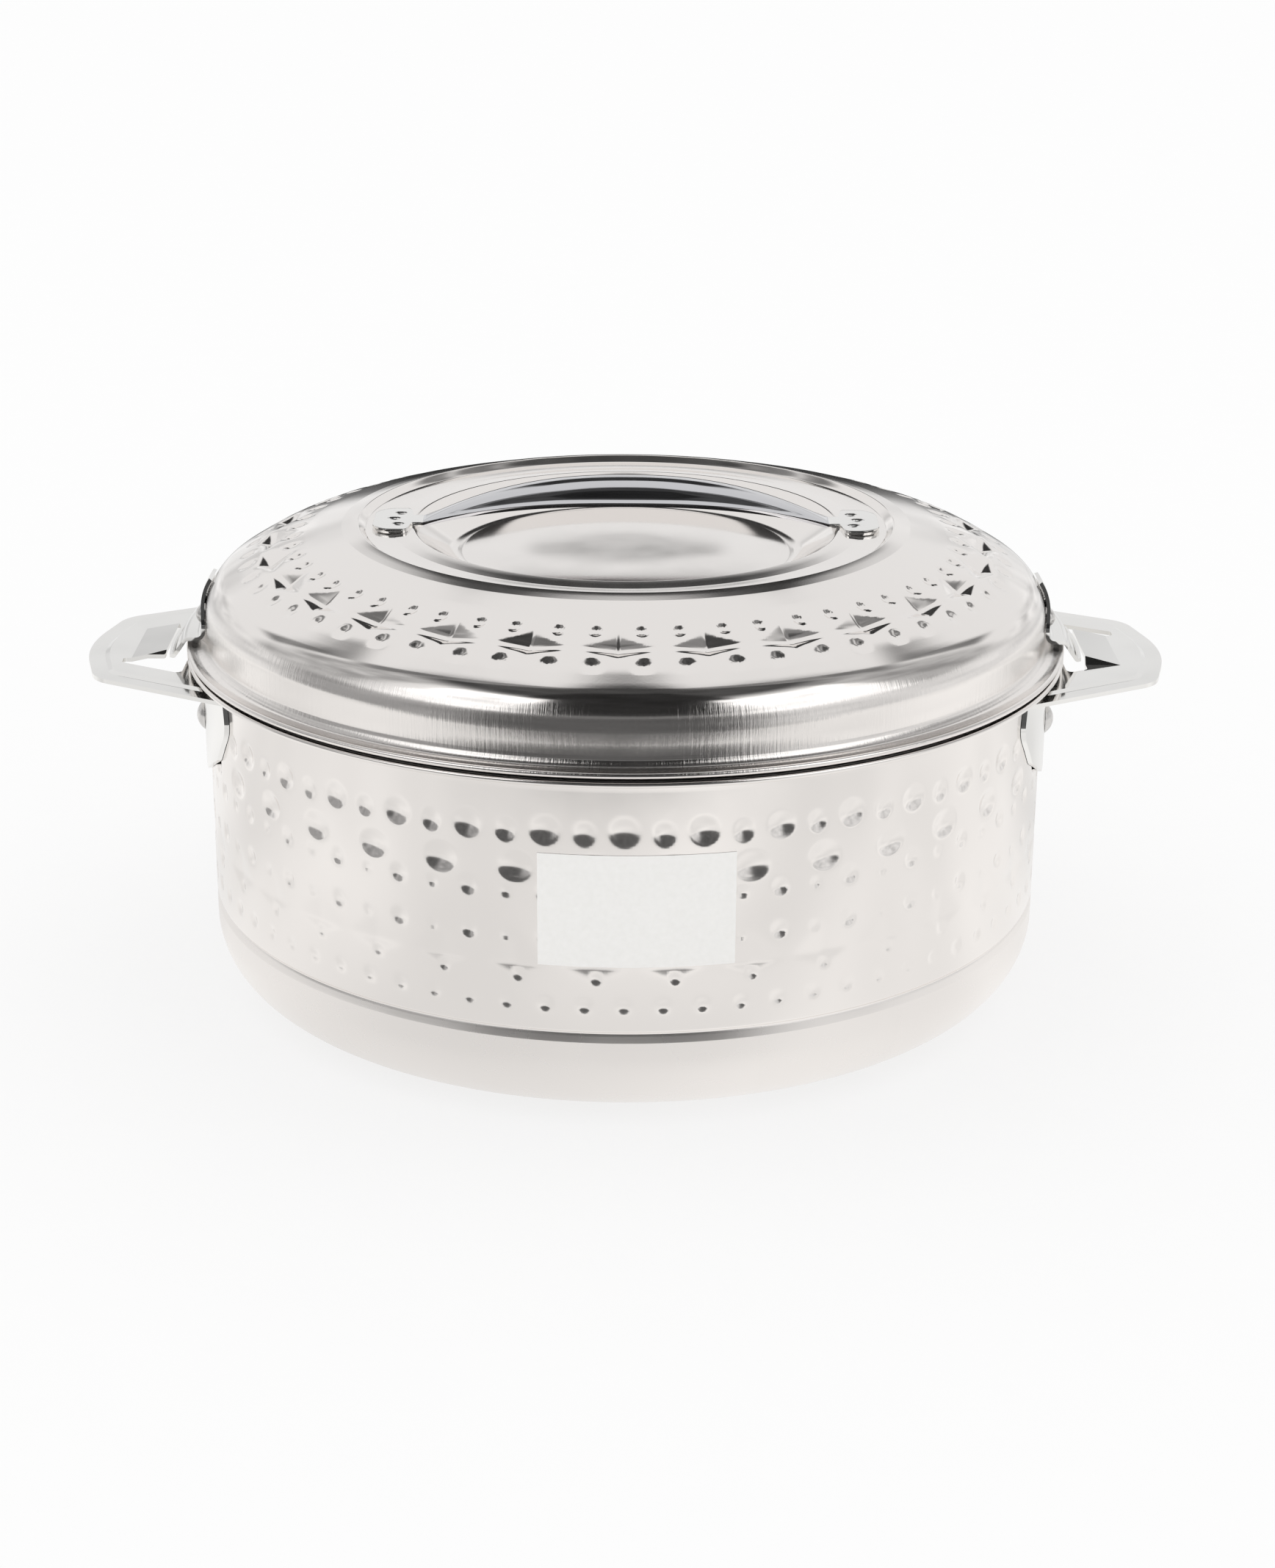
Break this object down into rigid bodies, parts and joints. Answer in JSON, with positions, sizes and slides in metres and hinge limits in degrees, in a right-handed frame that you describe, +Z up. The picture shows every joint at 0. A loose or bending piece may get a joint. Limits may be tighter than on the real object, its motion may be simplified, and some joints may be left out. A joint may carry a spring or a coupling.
{
  "type": "insulated serving pot",
  "caption": "Round double-walled stainless steel serving pot with a lift-off twist-lock lid, hammered bands, pressed side handles and an arched lid handle.",
  "frame": {"origin": "centre of the base, on the surface it stands on", "axes": "+Z up, +X towards the right-hand pot handle, -Y towards the front that carries the label"},
  "size_m": [0.3076, 0.25, 0.1446],
  "materials": {
    "hammered_steel": "polished stainless sheet with hammered dents",
    "satin_steel": "spun satin stainless",
    "pressed_steel": "pressed and buffed stainless",
    "rivet_steel": "headed stainless wire",
    "plain_steel": "as-rolled sheet",
    "foam": "rigid polyurethane foam",
    "plug_plastic": "moulded polyethylene",
    "paper_label": "blank coated paper"
  },
  "bodies": {
    "pot": {"outer_shell": "hammered_steel", "inner_bowl": "satin_steel", "body_insulation": "foam", "base_plug": "plug_plastic", "right_handle": "pressed_steel", "left_handle": "pressed_steel", "right_handle_rivets": "rivet_steel", "left_handle_rivets": "rivet_steel", "right_handle_backing": "plain_steel", "left_handle_backing": "plain_steel", "front_label": "paper_label"},
    "lid_liner": {"lid_inner_liner": "satin_steel", "lid_fill_plug": "plug_plastic"},
    "lid_cover": {"lid_outer_shell": "hammered_steel", "lid_insulation": "foam", "lid_handle": "pressed_steel", "right_lid_clip": "pressed_steel", "left_lid_clip": "pressed_steel", "right_clip_rivets": "rivet_steel", "left_clip_rivets": "rivet_steel", "right_clip_backing": "plain_steel", "left_clip_backing": "plain_steel"}
  },
  "joints": [
    {"name": "lid_lift", "type": "slide", "parent": "pot", "child": "lid_liner", "axis": [0, 0, 1], "range_m": [0, 0.12]},
    {"name": "lid_turn", "type": "hinge", "parent": "lid_liner", "child": "lid_cover", "pos_m": [0, 0, 0.098], "axis": [0, 0, 1], "range_deg": [0, 15]}
  ]
}
